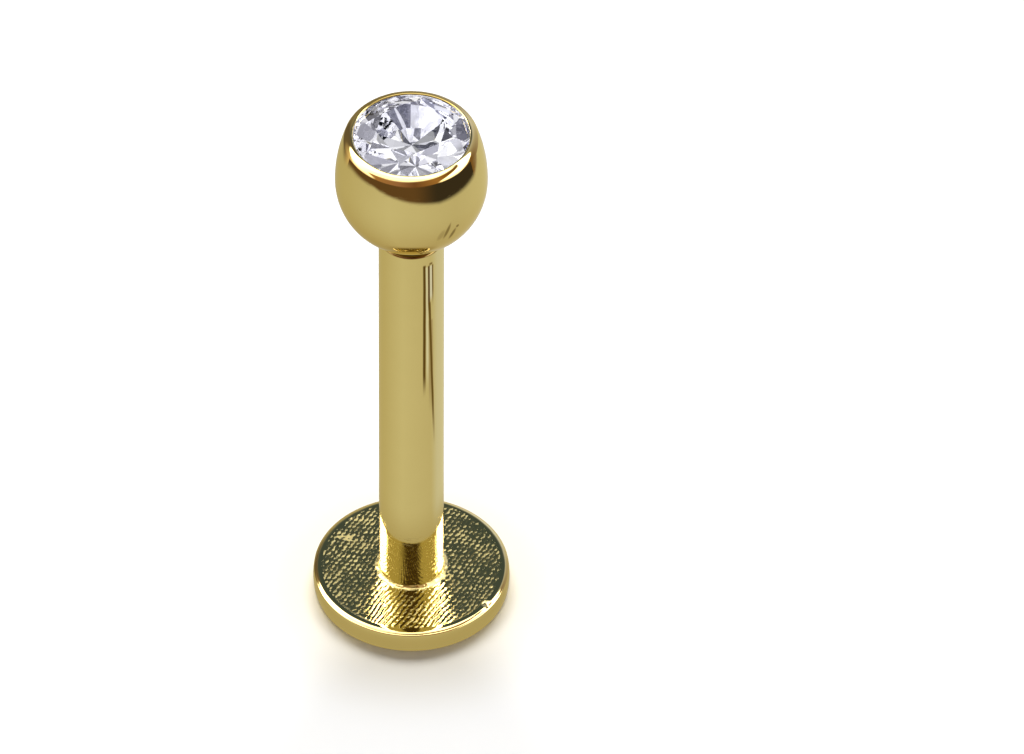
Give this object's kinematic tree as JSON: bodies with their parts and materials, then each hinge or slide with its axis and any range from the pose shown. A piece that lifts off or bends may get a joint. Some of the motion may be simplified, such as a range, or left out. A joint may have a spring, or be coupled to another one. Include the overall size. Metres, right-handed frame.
{
  "type": "labret stud",
  "caption": "Labret stud with a flat disc soldered to a straight post and a screw-in ball end that holds a round faceted stone in a pressed rim.",
  "frame": {"origin": "centre of the disc's underside, where the stud stands on a surface", "axes": "+Z along the post, from the disc to the ball end"},
  "size_m": [0.004, 0.004, 0.0127],
  "materials": {
    "polished_gold": "polished yellow gold",
    "clear_stone": "colourless faceted stone"
  },
  "bodies": {
    "post": {"post_and_disc": "polished_gold"},
    "ball_end": {"ball_end": "polished_gold", "stone": "clear_stone"}
  },
  "joints": [
    {"name": "ball_end_lift", "type": "slide", "parent": "post", "child": "ball_end", "axis": [0, 0, 1], "range_m": [0, 0.012]}
  ]
}
